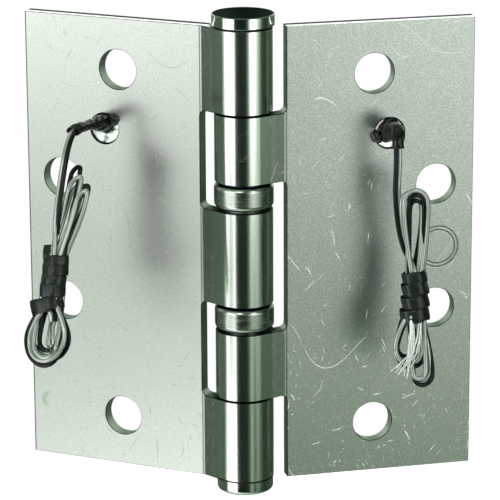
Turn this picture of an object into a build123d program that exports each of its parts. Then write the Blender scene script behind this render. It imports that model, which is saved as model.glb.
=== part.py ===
from build123d import *
import math
import os

os.makedirs("parts", exist_ok=True)

# A ball-bearing butt hinge that carries two wires from the frame side to the door side.
# Origin: on the pin's axis at mid height. +Z runs up the pin. The frame leaf lies along -X
# with its back face turned to -Y, and the door leaf stands part closed on the +X side.

# Leaves
leaf_reach = 57.15          # pin axis to a leaf's free edge
leaf_thickness = 3.4
back_offset = 4.1           # pin axis to the plane of a leaf's back face
barrel_radius = 7.145
rest_turn = 37.8            # how far the door leaf stands back from flat, in degrees
crease_reach = 9.3          # pin axis to the crease where the leaf bends up to the barrel
crease_radius = 1.2
curl_gap = 0.2945           # between the rolled knuckle's cut end and the leaf's front face
notch_reach = 9.8           # pin axis to the bottom of the notches between knuckles
notch_corner = 1.5
edge_break = 0.15

# Knuckles, from the top end to the middle one
end_knuckle = 21.15
door_knuckle = 17.15
bearing_space = 7.0
middle_knuckle = 23.7
parting_gap = 0.35          # between an end knuckle and the door knuckle beside it

# Screw holes, in pairs above and below the middle
outer_hole_inset = 9.525    # hole centre to the leaf's free edge
outer_hole_pitch = 31.75
inner_hole_inset = 25.4
inner_hole_pitch = 88.9
screw_hole_radius = 5.0

# Pins and their tips
pin_clearance = 0.045       # radial, pin in knuckle
head_overhang = 0.485       # radial, head beyond the barrel
head_height = 3.0
head_chamfer = 0.25
head_pin_length = 11.0      # engagement of the headed pin in the top knuckle
main_pin_top = 24.0         # height of the long pin's upper end, under the wire chamber
tip_inset = 0.155           # radial, tip within the barrel
tip_height = 3.3
tip_rounding = 1.1
spigot_length = 6.0
spigot_gap = 0.5            # between the long pin and the tip's spigot
pin_chamfer = 0.4

# Bearings
ball_radius = 1.2
ball_count = 11
groove_clearance = 0.08
race_pin_clearance = 0.1    # radial, race round the pin
race_gap = 1.5              # between the two races of a bearing
race_rim = 0.05             # race beyond the balls, at its outer edge
shoulder_drop = 1.2         # from a knuckle to the shoulder that a shell's lip closes over
shell_overhang = 0.155      # radial, shell beyond the barrel
shell_wall = 0.9
shell_lip = 1.7             # radial width of the lips that close over the races
shell_gap = 0.425           # between a shell and the knuckle above or below
shell_rounding = 1.3
shell_clearance = 0.1       # radial, shell round the races
shell_play = 0.1            # axial, at the shell's lower lip

# Wire exits
exit_reach = 35.64
exit_height = 29.34
pocket_radius = 3.7
pocket_depth = 2.6
pocket_chamfer = 0.35
potting_recess = 0.6
potting_clearance = 0.05
passage_radius = 1.15
passage_depth = 1.7         # passage centre under the back face
passage_end_reach = 1.0     # reach at which the passages end, inside the pin bore
frame_passage_rise = 19.7   # slope of the frame leaf's passage up to the top knuckle, in degrees
lead_radius = 1.0
lead_bend = 1.6
lead_gap = 0.1              # at each end of a lead
lead_turn_reach = 2.6       # reach at which a lead leaves its passage for the pin axis

# Outside wires
wire_diameter = 1.15
wire_spacing = 1.25         # between the two wires where they leave a sleeve
strand_diameter = 0.4
strand_bend = 0.8
tape_rounding = 0.35

# Worked-out levels and sizes
bore_radius = barrel_radius - leaf_thickness
pin_radius = bore_radius - pin_clearance
front_offset = back_offset - leaf_thickness
top = end_knuckle + door_knuckle + bearing_space + middle_knuckle / 2
parting = top - end_knuckle
bearing_top = parting - door_knuckle
bearing_bottom = bearing_top - bearing_space
crease_distance = math.hypot(crease_reach, back_offset)
crease_angle = math.degrees(math.atan2(back_offset, crease_reach))
tangent_angle = crease_angle + math.degrees(math.acos(barrel_radius / crease_distance))
swage_slope = 90 - tangent_angle
curl_end_angle = tangent_angle - math.degrees(math.acos((bore_radius - curl_gap) / barrel_radius))
front_crease_reach = crease_reach - leaf_thickness * math.tan(math.radians(swage_slope / 2))
notch_margin = notch_corner + 1.0
head_radius = barrel_radius + head_overhang
tip_radius = barrel_radius - tip_inset
shell_radius = barrel_radius + shell_overhang
boss_radius = shell_radius - shell_lip - shell_clearance    # a race's narrow end, against its knuckle
race_radius = shell_radius - shell_wall - shell_clearance
ball_circle = race_radius - race_rim - ball_radius
outer_hole_reach = leaf_reach - outer_hole_inset
inner_hole_reach = leaf_reach - inner_hole_inset


class Side:
    """Directions of one leaf: out to its free edge, and back out of its back face."""

    def __init__(self, out, back):
        self.out = Vector(*out)
        self.back = Vector(*back)
        self.section = Plane(origin=(0, 0, 0), x_dir=self.out, z_dir=self.out.cross(self.back))

    def point(self, reach, proud, height):
        """A point at a reach from the pin axis, proud of the back face, at a height."""
        return self.out * reach + self.back * (back_offset + proud) + Vector(0, 0, height)

    def outside(self, stations):
        """Points given from the exit pocket's centre: towards the free edge, proud and up."""
        return [self.point(exit_reach + aside, proud, exit_height + rise)
                for aside, proud, rise, *_ in stations]

    def face(self, proud):
        """The plane of the back face, or one proud of it, with local X outward and local Y up."""
        return Plane(origin=self.back * (back_offset + proud), x_dir=self.out,
                     z_dir=self.out.cross(Vector(0, 0, 1)))

    def leaning(self, origin, lean, tilt):
        """A cross plane of something that leans away from the leaf and tilts towards its edge."""
        lean, tilt = math.radians(lean), math.radians(tilt)
        axis = Vector(0, 0, math.cos(lean)) - self.back * math.sin(lean)
        return Plane(origin=origin, x_dir=self.out * math.cos(tilt) + axis * math.sin(tilt),
                     z_dir=axis * math.cos(tilt) - self.out * math.sin(tilt))


rest_radians = math.radians(rest_turn)
frame = Side(out=(-1, 0, 0), back=(0, -1, 0))
door = Side(out=(math.cos(rest_radians), math.sin(rest_radians), 0),
            back=(math.sin(rest_radians), -math.cos(rest_radians), 0))


def save(name, part):
    part.label = name
    export_step(part, "parts/" + name + ".step")


def on_circle(radius, angle):
    return radius * math.cos(math.radians(angle)), radius * math.sin(math.radians(angle))


# Leaves: a strip of sheet bent at the crease and rolled round the pin, then notched

def leaf_blank(side):
    """The leaf's section, carried over the hinge's height."""
    curl = 360 + curl_end_angle - tangent_angle
    with BuildPart() as blank:
        with BuildSketch(side.section):
            with BuildLine():
                back = FilletPolyline((leaf_reach, back_offset), (crease_reach, back_offset),
                                      on_circle(barrel_radius, tangent_angle), radius=crease_radius)
                outer = CenterArc((0, 0), barrel_radius, tangent_angle, curl)
                Line(outer @ 1, on_circle(bore_radius, curl_end_angle))
                CenterArc((0, 0), bore_radius, curl_end_angle, -curl)
                front = FilletPolyline(on_circle(bore_radius, tangent_angle),
                                       (front_crease_reach, front_offset),
                                       (leaf_reach, front_offset),
                                       radius=crease_radius + leaf_thickness)
                Line(front @ 1, back @ 0)
            make_face()
        extrude(amount=top, both=True)
    return blank.part


def notch(side, low, high):
    """The space for the other leaf's knuckle, between two heights, with rounded inner corners."""
    near_end = -barrel_radius - notch_margin
    with BuildPart() as space:
        with BuildSketch(side.face(-back_offset)):
            with Locations(((near_end + notch_reach) / 2, (low + high) / 2)):
                RectangleRounded(notch_reach - near_end, high - low, notch_corner)
        extrude(amount=barrel_radius + notch_margin, both=True)
    return space.part


def passage(side, rise):
    """The drilled way from the exit pocket to the pin bore, rising towards the barrel."""
    start = side.point(exit_reach, -passage_depth, exit_height)
    end = side.point(passage_end_reach, -passage_depth, exit_height + rise * (exit_reach - passage_end_reach))
    with BuildPart() as drilled:
        with BuildSketch(Plane(origin=start, z_dir=end - start)):
            Circle(passage_radius)
        extrude(amount=(end - start).length)
    return drilled.part


def rims(plate, radius):
    """The circular edges of one radius."""
    return [edge for edge in plate.edges().filter_by(GeomType.CIRCLE) if abs(edge.radius - radius) < 0.001]


def leaf(side, notches, rise):
    """One leaf with its notches, screw holes, exit pocket and wire passage."""
    blank = leaf_blank(side)
    spaces = [notch(side, low, high) for low, high in notches]
    drilled = passage(side, rise)
    with BuildPart() as plate:
        add(blank)
        add(spaces, mode=Mode.SUBTRACT)
        with BuildSketch(side.face(0)):
            with Locations((inner_hole_reach, 0)):
                with GridLocations(0, inner_hole_pitch, 1, 2):
                    Circle(screw_hole_radius)
            with Locations((outer_hole_reach, 0)):
                with GridLocations(0, outer_hole_pitch, 1, 2):
                    Circle(screw_hole_radius)
        extrude(amount=leaf_thickness, dir=side.back * -1, mode=Mode.SUBTRACT)
        chamfer(rims(plate, screw_hole_radius), edge_break)
        with BuildSketch(side.face(0)):
            with Locations((exit_reach, exit_height)):
                Circle(pocket_radius)
        extrude(amount=pocket_depth, dir=side.back * -1, mode=Mode.SUBTRACT)
        mouth = max(rims(plate, pocket_radius), key=lambda rim: rim.arc_center.dot(side.back))
        chamfer(mouth, pocket_chamfer)
        add(drilled, mode=Mode.SUBTRACT)
        chamfer(rims(plate, barrel_radius), edge_break)
        free_edges = [edge for edge in plate.edges().filter_by(Axis.Z)
                      if edge.center().dot(side.out) > leaf_reach - edge_break]
        chamfer(free_edges, edge_break)
    return plate.part


frame_rise = math.tan(math.radians(frame_passage_rise))
beyond = top + notch_margin
half_gap = parting_gap / 2

frame_leaf = leaf(frame, rise=frame_rise,
                  notches=[(bearing_bottom, parting + half_gap), (-parting - half_gap, -bearing_bottom)])
save("frame_leaf", frame_leaf)

door_leaf = leaf(door, rise=0.0,
                 notches=[(-bearing_top, bearing_top), (parting - half_gap, beyond),
                          (-beyond, half_gap - parting)])
save("door_leaf", door_leaf)


# Pins: a short headed one over the wire chamber, a long one under it, and the lower tip

with BuildPart() as head_pin:
    with Locations((0, 0, top)):
        Cylinder(head_radius, head_height, align=(Align.CENTER, Align.CENTER, Align.MIN))
        chamfer(head_pin.edges().filter_by(GeomType.CIRCLE), head_chamfer)
        Cylinder(pin_radius, head_pin_length, align=(Align.CENTER, Align.CENTER, Align.MAX))
    chamfer(head_pin.edges().filter_by(GeomType.CIRCLE).sort_by(Axis.Z)[0], pin_chamfer)
save("head_pin", head_pin.part)

main_pin_bottom = -top + spigot_length + spigot_gap
with BuildPart() as main_pin:
    with Locations((0, 0, main_pin_bottom)):
        Cylinder(pin_radius, main_pin_top - main_pin_bottom, align=(Align.CENTER, Align.CENTER, Align.MIN))
    chamfer(main_pin.edges().filter_by(GeomType.CIRCLE), pin_chamfer)
save("main_pin", main_pin.part)

with BuildPart() as bottom_tip:
    with Locations((0, 0, -top)):
        Cylinder(tip_radius, tip_height, align=(Align.CENTER, Align.CENTER, Align.MAX))
        fillet(bottom_tip.edges().filter_by(GeomType.CIRCLE).sort_by(Axis.Z)[0], tip_rounding)
        Cylinder(pin_radius, spigot_length, align=(Align.CENTER, Align.CENTER, Align.MIN))
    chamfer(bottom_tip.edges().filter_by(GeomType.CIRCLE).sort_by(Axis.Z)[-1], pin_chamfer)
save("bottom_tip", bottom_tip.part)


# Bearings: two like races face each other over a ring of balls, inside a rolled shell

race_bore = pin_radius + race_pin_clearance
race_height = (bearing_space - race_gap) / 2
seat = bearing_space / 2


def race(middle, facing):
    """A shouldered ring seated on a knuckle, with its ball groove facing the other race."""
    shoulder = seat - shoulder_drop
    with BuildPart() as ring:
        with BuildSketch(Plane.XZ):
            with BuildLine():
                Polyline((race_bore, seat), (boss_radius, seat), (boss_radius, shoulder),
                         (race_radius, shoulder), (race_radius, seat - race_height),
                         (race_bore, seat - race_height), close=True)
            make_face()
            with Locations((ball_circle, 0)):
                Circle(ball_radius + groove_clearance, mode=Mode.SUBTRACT)
        revolve(axis=Axis.Z)
    turned = ring.part if facing < 0 else ring.part.mirror(Plane.XY)
    return turned.moved(Location((0, 0, middle)))


def shell(middle):
    """The rolled casing: its upper lip rests on the top race, its lower one clears the other."""
    half = seat - shell_gap
    shoulder = seat - shoulder_drop
    inside = race_radius + shell_clearance
    lip = boss_radius + shell_clearance
    with BuildPart() as casing:
        with BuildSketch(Plane.XZ):
            with BuildLine():
                Polyline((inside, shoulder), (lip, shoulder), (lip, half), (shell_radius, half),
                         (shell_radius, -half), (lip, -half), (lip, -shoulder - shell_play),
                         (inside, -shoulder - shell_play), close=True)
            make_face()
        revolve(axis=Axis.Z)
        fillet(rims(casing, shell_radius), shell_rounding)
    return casing.part.moved(Location((0, 0, middle)))


bearing_middle = (bearing_top + bearing_bottom) / 2
for bearing, middle in (("upper_bearing", bearing_middle), ("lower_bearing", -bearing_middle)):
    save(bearing + "_top_race", race(middle, -1))
    save(bearing + "_bottom_race", race(middle, 1))
    save(bearing + "_shell", shell(middle))
    with BuildPart() as balls:
        with Locations((0, 0, middle)):
            with PolarLocations(ball_circle, ball_count):
                Sphere(ball_radius)
    save(bearing + "_balls", balls.part)


# Wires, sleeves and ties. Outside the leaf their stations are measured from the exit pocket's
# centre: towards the free edge, proud of the back face and up, followed by any half widths.

def tube(corners, diameter, largest_bend=None):
    """A round wire along straight runs, joined by arcs as large as the runs allow."""
    bends = []
    for before, corner, after in zip(corners, corners[1:], corners[2:]):
        run_in, run_out = corner - before, after - corner
        half_turn = math.radians(run_in.get_angle(run_out) / 2)
        bend = 0.45 * min(run_in.length, run_out.length) / math.tan(half_turn)
        bends.append(min(bend, largest_bend) if largest_bend else bend)
    with BuildPart() as wire:
        with BuildLine() as line:
            FilletPolyline(*corners, radius=bends)
        route = line.wire()
        with BuildSketch(Plane(origin=route @ 0, z_dir=route % 0)):
            Circle(diameter / 2)
        sweep(path=route)
    section = math.pi * diameter ** 2 / 4
    print("tube length", round(route.length, 1), "volume share",
          round(wire.part.volume / (section * route.length), 3),
          "bends in diameters", [round(bend / diameter, 1) for bend in bends])
    return wire.part


def body_along(side, stations, start=None):
    """A closed soft body through ellipses, each square to the line of the stations."""
    centres = side.outside(stations)
    with BuildPart() as body:
        for index, station in enumerate(stations):
            before = centres[max(index - 1, 0)]
            after = centres[min(index + 1, len(centres) - 1)]
            forward = start if start and index == 0 else after - before
            with BuildSketch(Plane(origin=centres[index], x_dir=side.out, z_dir=forward)):
                Ellipse(station[3], station[4])
        loft()
    return body.part


def tape_tie(side, bands, bundle):
    """Tape wound round a bundle of wires, as bands that overlap and tilt unevenly."""
    turns = []
    for middle, (*_, half_out, half_back, width, lean, tilt) in zip(side.outside(bands), bands):
        with BuildPart() as turn:
            with BuildSketch(side.leaning(middle, lean, tilt)):
                Ellipse(half_out, half_back)
            extrude(amount=width / 2, both=True)
            fillet(turn.edges(), tape_rounding)
        turns.append(turn.part)
    with BuildPart() as wrap:
        add(turns)
        add(bundle, mode=Mode.SUBTRACT)
    return wrap.part


def potting(side):
    """The resin that seals the wires in the exit pocket, a little below the leaf's face."""
    with BuildPart() as resin:
        with BuildSketch(side.face(-pocket_depth)):
            with Locations((exit_reach, exit_height)):
                Circle(pocket_radius - potting_clearance)
        extrude(amount=pocket_depth - potting_recess, dir=side.back)
    return resin.part


def inner_lead(side, rise, end_height):
    """The sheathed pair from the pocket's wall through the passage to the pin axis."""
    start_reach = exit_reach - pocket_radius - lead_gap
    turn_height = exit_height + rise * (exit_reach - lead_turn_reach)
    stations = [(start_reach, -passage_depth, exit_height + rise * (exit_reach - start_reach)),
                (lead_turn_reach, -passage_depth, turn_height),
                (0, -back_offset, turn_height),
                (0, -back_offset, end_height)]
    return tube([side.point(*station) for station in stations], 2 * lead_radius, lead_bend)


save("frame_potting", potting(frame))
save("door_potting", potting(door))
save("frame_inner_lead", inner_lead(frame, frame_rise, parting + lead_gap))
save("door_inner_lead", inner_lead(door, 0, parting - lead_gap))

# Sleeves stand on the resin, with their mouths where the wires come out
resin_face = -potting_recess
frame_sleeve = body_along(frame, [
    (0.0, resin_face, 1.4, 2.05, 2.05), (0.0, 2.4, 1.8, 2.05, 1.95), (0.0, 6.5, 2.4, 1.45, 1.35),
    (0.0, 10.5, 2.8, 1.3, 1.2), (0.0, 14.0, 3.1, 1.5, 1.25), (0.0, 16.6, 2.9, 1.55, 1.35)],
    start=frame.back)
door_sleeve = body_along(door, [
    (-0.9, resin_face, -0.1, 2.1, 2.1), (-0.9, 2.2, 0.5, 2.1, 2.0), (-1.0, 5.6, 1.9, 1.85, 1.8),
    (-1.2, 9.0, 3.2, 1.7, 1.65), (-1.5, 11.7, 3.1, 1.75, 1.7), (-1.7, 13.3, 1.3, 1.65, 1.6),
    (-1.8, 13.7, -0.9, 1.6, 1.35)],
    start=door.back)
save("frame_sleeve", frame_sleeve)
save("door_sleeve", door_sleeve)

frame_hank = body_along(frame, [
    (-2.7, 18.4, -4.9, 0.9, 0.7), (-3.2, 19.3, -7.0, 2.2, 1.4), (-3.4, 20.9, -11.3, 2.9, 2.0),
    (-1.8, 23.8, -18.7, 3.2, 2.5), (-0.4, 26.2, -24.7, 2.6, 2.4), (-0.1, 28.4, -31.7, 2.5, 2.4),
    (0.0, 30.6, -38.7, 2.5, 2.4), (-0.4, 31.9, -42.1, 4.1, 2.5), (-0.9, 33.6, -46.5, 5.8, 2.5),
    (-1.0, 34.9, -49.7, 4.4, 1.9), (-1.0, 35.6, -51.6, 1.5, 0.9)])
door_hank = body_along(door, [
    (1.4, 16.6, -9.9, 1.0, 0.7), (1.8, 16.6, -12.3, 2.9, 1.3), (2.0, 16.6, -17.5, 3.4, 1.7),
    (2.0, 16.6, -25.0, 2.9, 2.1), (1.7, 16.9, -30.8, 2.5, 2.4), (1.6, 17.6, -36.3, 2.5, 2.4),
    (1.4, 18.3, -41.5, 2.5, 2.4), (1.1, 18.9, -45.3, 4.0, 2.4), (0.6, 19.7, -50.4, 5.3, 2.5),
    (1.3, 20.3, -54.9, 4.5, 2.1), (2.4, 20.7, -58.1, 1.7, 1.0)])
save("frame_hank", frame_hank)
save("door_hank", door_hank)

# Each tape band: its place, half widths, width along the bundle, lean and tilt in degrees
save("frame_tie", tape_tie(frame, [
    (-0.3, 26.7, -26.4, 3.05, 2.9, 2.3, 17, -4), (-0.2, 27.4, -28.7, 3.15, 2.95, 2.7, 17, -5),
    (-0.1, 28.2, -31.1, 3.0, 2.85, 2.6, 17, 0), (0.0, 28.9, -33.7, 3.2, 2.95, 3.0, 17, -3),
    (1.0, 30.1, -37.4, 4.1, 3.05, 3.4, 17, -17)], frame_hank))
save("door_tie", tape_tie(door, [
    (1.6, 17.1, -31.9, 2.95, 2.85, 2.8, 7, 9), (1.6, 17.4, -34.7, 3.1, 2.9, 3.4, 7, 11),
    (1.6, 17.8, -37.9, 3.3, 2.95, 3.4, 7, 11), (1.4, 18.2, -41.0, 3.6, 3.05, 3.4, 7, 8)], door_hank))


def wires(side, name, stations, sleeve, hank):
    """The two wires of one leaf, side by side from the sleeve's mouth to the hank."""
    for letter, shift in (("a", wire_spacing / 2), ("b", -wire_spacing / 2)):
        beside = [(aside + shift, proud, height) for aside, proud, height in stations]
        whole = tube(side.outside(beside), wire_diameter)
        with BuildPart() as wire:
            add(whole)
            add([sleeve, hank], mode=Mode.SUBTRACT)
        save(name + "_wire_" + letter, wire.part.solids().sort_by(SortBy.VOLUME)[-1])


wires(frame, "frame", [(0.0, 16.2, 3.0), (0.0, 20.2, 1.6), (0.1, 22.3, -3.5), (0.3, 24.4, -10.5),
                       (0.4, 25.4, -17.3)], frame_sleeve, frame_hank)
wires(door, "door", [(-1.8, 13.6, -0.5), (-2.0, 14.0, -5.5), (-2.4, 14.1, -11.4), (-1.6, 14.6, -18.6),
                     (0.0, 15.6, -25.3)], door_sleeve, door_hank)


def bare_ends(side, name, strands, hank):
    """The frayed conductors at the wires' ends, each strand a fine wire that leaves the hank."""
    tubes = [tube(side.outside(stations), strand_diameter, strand_bend) for stations in strands]
    with BuildPart() as ends:
        add(tubes)
        add(hank, mode=Mode.SUBTRACT)
    save(name + "_bare_ends", ends.part)


bare_ends(frame, "frame", [
    [(-0.6, 36.0, -44.8), (-1.4, 36.9, -46.5), (-2.6, 37.4, -47.5)],
    [(-1.2, 36.0, -44.8), (-1.0, 36.9, -46.7), (-1.6, 37.6, -48.5)],
    [(-2.0, 35.9, -44.7), (-3.0, 36.8, -45.9), (-3.8, 37.3, -47.7)]], frame_hank)
bare_ends(door, "door", [
    [(1.2, 20.6, -45.1), (0.4, 22.6, -49.7), (-0.8, 23.2, -53.6)],
    [(0.6, 20.6, -45.3), (-0.3, 22.8, -51.2), (-3.1, 23.2, -55.0)],
    [(1.8, 20.6, -44.9), (1.3, 23.0, -50.6), (0.3, 23.4, -55.5)],
    [(0.5, 20.6, -45.5), (-1.2, 22.6, -51.6), (-4.3, 23.2, -54.2)],
    [(2.2, 20.6, -45.3), (1.8, 22.6, -48.5), (0.1, 23.2, -51.8)]], door_hank)
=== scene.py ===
import math
from functools import partial

import bpy
import numpy as np
from mathutils import Matrix


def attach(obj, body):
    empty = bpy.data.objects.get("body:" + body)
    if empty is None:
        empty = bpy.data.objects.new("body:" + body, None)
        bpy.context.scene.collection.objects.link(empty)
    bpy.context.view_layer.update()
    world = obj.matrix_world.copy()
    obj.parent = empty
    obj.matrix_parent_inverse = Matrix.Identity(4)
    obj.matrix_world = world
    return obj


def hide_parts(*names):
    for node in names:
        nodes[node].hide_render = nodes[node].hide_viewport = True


def addObject(name, data):
    item = bpy.data.objects.new(name, data)
    bpy.context.scene.collection.objects.link(item)
    return item


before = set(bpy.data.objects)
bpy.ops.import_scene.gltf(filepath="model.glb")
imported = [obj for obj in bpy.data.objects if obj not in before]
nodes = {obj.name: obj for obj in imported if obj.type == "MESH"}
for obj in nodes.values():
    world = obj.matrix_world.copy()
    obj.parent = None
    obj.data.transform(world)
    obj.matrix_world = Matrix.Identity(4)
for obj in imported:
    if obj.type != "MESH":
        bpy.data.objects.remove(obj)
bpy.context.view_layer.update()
mm = 0.001
print("frame loaded:", len(nodes), "nodes")


# Camera at the photograph's angle. Distances are in millimetres, angles in degrees, and the
# focal length is in pixels of a 500 pixel image.
cameraView = {
    "azimuth": 24.075, "elevation": 15.416, "roll": -0.273,
    "distance": 735.4, "right": 1.433, "up": 1.074,
    "focalPixels": 3000.1, "imagePixels": 500, "sensor": 36.0,
}

azimuth = math.radians(cameraView["azimuth"])
elevation = math.radians(cameraView["elevation"])
roll = math.radians(cameraView["roll"])
viewBack = np.array([math.sin(azimuth) * math.cos(elevation),
                     -math.cos(azimuth) * math.cos(elevation), math.sin(elevation)])
level = np.array([math.cos(azimuth), math.sin(azimuth), 0.0])
steep = np.cross(viewBack, level)
imageRight = level * math.cos(roll) + steep * math.sin(roll)
imageUp = steep * math.cos(roll) - level * math.sin(roll)
eye = (viewBack * cameraView["distance"] + imageRight * cameraView["right"]
       + imageUp * cameraView["up"]) * mm

cameraData = bpy.data.cameras.new("camera")
cameraData.sensor_width = cameraView["sensor"]
cameraData.lens = cameraView["sensor"] * cameraView["focalPixels"] / cameraView["imagePixels"]
cameraData.clip_start = 0.01
camera = addObject("camera", cameraData)
turned = Matrix(np.column_stack([imageRight, imageUp, viewBack]).tolist()).to_4x4()
camera.matrix_world = Matrix.Translation(eye.tolist()) @ turned
bpy.context.scene.camera = camera
print("camera set")

# The two leaves: directions out to the free edge and back out of the back face
hinge = {
    "restTurn": 37.8,       # degrees that the door leaf stands back from flat
    "backOffset": 4.1,      # pin axis to the plane of a leaf's back face
    "exitReach": 35.64,     # pin axis to the centre of an exit pocket
    "exitHeight": 29.34,
}
restTurn = math.radians(hinge["restTurn"])
sides = {
    "frame": {"out": np.array([-1.0, 0.0, 0.0]), "back": np.array([0.0, -1.0, 0.0])},
    "door": {"out": np.array([math.cos(restTurn), math.sin(restTurn), 0.0]),
             "back": np.array([math.sin(restTurn), -math.cos(restTurn), 0.0])},
}


def outside(side, stations):
    # metres, from (aside, proud, rise) in millimetres measured at the exit pocket's centre
    aside, proud, rise = np.array(stations, float).T
    across = np.outer(hinge["exitReach"] + aside, sides[side]["out"])
    off = np.outer(hinge["backOffset"] + proud, sides[side]["back"])
    upward = np.outer(hinge["exitHeight"] + rise, [0.0, 0.0, 1.0])
    return (across + off + upward) * mm


# Outside wires. Stations are (aside, proud, rise). A loop is (aside and rise of its apex, radius,
# lift off the hank's middle line, fall of its outer side). A slot is (turn in degrees, share of
# the bundle's radius).
wireShape = {"diameter": 1.15, "leadAside": 0.53, "leadBehind": 0.28, "bundleRadius": 1.85}
hanks = {
    "frame": {
        "middle": [
            (-2.7, 18.4, -4.9), (-3.2, 19.3, -7.0), (-3.4, 20.9, -11.3), (-1.8, 23.8, -18.7),
            (-0.4, 26.2, -24.7), (-0.1, 28.4, -31.7), (0.0, 30.6, -38.7), (-0.4, 31.9, -42.1),
            (-0.9, 33.6, -46.5), (-1.0, 35.6, -51.6),
        ],
        "lead": [
            (0.0, 13.6, 3.1), (0.0, 16.2, 3.0), (0.0, 19.0, 1.2), (0.1, 21.4, -3.5),
            (0.3, 23.6, -10.5), (0.6, 25.2, -17.3),
        ],
        "waist": (-25.5, -36.0), "splay": 1.55,
        "spread": {"top": (0.45, 0.85), "bottom": (0.5, 0.92)},
        "A": {
            "top": [
                (-2.3, -7.9, 1.6, 0.8, 1.6), (-4.9, -10.6, 1.3, 1.3, 1.2),
                (-2.0, -9.9, 1.4, -1.6, 1.0),
            ],
            "bottom": [
                (-0.7, -49.5, 4.4, 1.0, -0.6), (-0.6, -48.5, 2.9, 1.7, 0.3),
                (0.1, -49.0, 4.0, -1.2, 0.4),
            ],
            "end": [(-0.9, 31.6, -38.5), (-1.1, 32.4, -40.6)],
        },
        "B": {
            "top": [
                (-1.5, -5.7, 1.1, -0.5, 0.8), (-4.5, -9.6, 1.3, 0.1, 1.0),
                (-3.5, -11.8, 1.5, -0.9, 0.8),
            ],
            "bottom": [
                (0.5, -50.7, 4.5, 0.2, 0.8), (-0.9, -47.2, 2.3, 0.6, 0.0),
                (-1.4, -49.8, 3.7, -1.9, -0.5),
            ],
            "end": [(-2.0, 31.7, -38.5), (-2.3, 32.4, -40.4)],
        },
    },
    "door": {
        "middle": [
            (1.4, 16.6, -9.9), (1.8, 16.6, -12.3), (2.0, 16.6, -17.5), (2.0, 16.6, -25.0),
            (1.7, 16.9, -30.8), (1.6, 17.6, -36.3), (1.4, 18.3, -41.5), (1.1, 18.9, -45.3),
            (0.6, 19.7, -50.4), (2.4, 20.7, -58.1),
        ],
        "lead": [
            (-1.75, 12.9, 1.5), (-1.85, 13.6, -0.8), (-2.0, 14.0, -5.5), (-2.3, 14.2, -11.4),
            (-1.8, 14.8, -18.6), (-0.6, 15.8, -25.3),
        ],
        "waist": (-31.5, -39.5), "splay": 1.15,
        "spread": {"top": (0.5, 0.9), "bottom": (0.55, 0.9)},
        "A": {
            "top": [
                (1.7, -10.3, 2.9, 0.7, 0.3), (1.8, -12.2, 1.7, -0.6, 0.2),
                (1.6, -11.2, 2.8, -1.7, 0.2),
            ],
            "bottom": [
                (-1.1, -52.4, 2.8, 0.6, -0.4), (1.6, -56.2, 1.6, 1.5, 0.0),
                (2.5, -57.0, 2.1, 0.1, 0.0),
            ],
            "end": [(-0.3, 20.3, -39.6), (-0.3, 20.6, -41.2)],
        },
        "B": {
            "top": [
                (1.9, -11.5, 1.8, 0.6, 0.2), (2.3, -13.2, 1.7, -0.4, 0.3),
                (1.5, -12.6, 2.3, -1.9, 0.2),
            ],
            "bottom": [
                (2.8, -58.1, 2.3, 0.7, 0.2), (-0.9, -51.2, 2.2, -0.6, 0.0),
                (0.6, -54.3, 3.5, -1.7, 0.0),
            ],
            "end": [(2.1, 20.2, -40.2), (2.1, 20.5, -42.0)],
        },
    },
}
slots = {
    "A": {"down": [(90, 1.0), (18, 1.0), (45, 0.42), (54, 1.0)],
          "up": [(126, 1.0), (198, 1.0), (225, 0.42)]},
    "B": {"down": [(306, 1.0), (342, 1.0), (315, 0.42), (270, 1.0)],
          "up": [(162, 1.0), (234, 1.0), (135, 0.42)]},
}


def alongMiddle(hank, rise):
    # the middle line's (aside, proud) at a rise
    aside, proud, rises = np.array(hank["middle"][::-1]).T
    return np.interp(rise, rises, aside), np.interp(rise, rises, proud)


def slotStation(hank, slot, rise):
    # the bundle is splayed sideways at its lower end
    angle, share = math.radians(slot[0]), slot[1] * wireShape["bundleRadius"]
    aside, proud = alongMiddle(hank, rise)
    low = hank["waist"][1]
    splay = np.interp(rise, (low, low + 2.0), (hank["splay"], 1.0))
    return aside + share * splay * math.cos(angle), proud + share * math.sin(angle), rise


def loopStations(hank, loop, slotIn, slotOut, edge, upward):
    # two points on each leg, and an arc of five round the apex
    apexAside, apexRise, radius, lift, fall = loop
    centreRise = apexRise - upward * radius
    reach = radius * 1.08
    stations = []
    for turn in (0, 45, 90, 135, 180):
        angle = math.radians(turn if upward < 0 else 180 - turn)
        rise = centreRise + upward * (reach * math.sin(angle) - fall * math.cos(angle))
        proud = alongMiddle(hank, rise)[1]
        stations.append((apexAside + reach * math.cos(angle), proud + lift, rise))
    for slot, corner, first in ((slotIn, stations[0], True), (slotOut, stations[-1], False)):
        start = np.array(slotStation(hank, slot, edge))
        leg = []
        for share, spread in zip((0.33, 0.7), hank["spread"]["top" if upward > 0 else "bottom"]):
            mix = np.array([spread, share, share])
            leg.append(tuple(start * (1 - mix) + np.array(corner) * mix))
        stations = leg + stations if first else stations + leg[::-1]
    return stations


def wireStations(side, letter):
    # down and up through the waist seven times, with a loop below or above after each
    hank, hand = hanks[side], 1 if letter == "A" else -1
    shift, back = hand * wireShape["leadAside"], hand * wireShape["leadBehind"]
    high, low = hank["waist"]
    stations = [(aside + shift, proud - back, rise) for aside, proud, rise in hank["lead"]]
    levels = [high, (high + low) / 2, low]
    for turn in range(4):
        down = slots[letter]["down"][turn]
        stations += [slotStation(hank, down, rise) for rise in levels]
        if turn == 3:
            break
        up = slots[letter]["up"][turn]
        stations += loopStations(hank, hank[letter]["bottom"][turn], down, up, low, -1)
        stations += [slotStation(hank, up, rise) for rise in levels[::-1]]
        following = slots[letter]["down"][turn + 1]
        stations += loopStations(hank, hank[letter]["top"][turn], up, following, high, 1)
    return stations + hank[letter]["end"]


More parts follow.
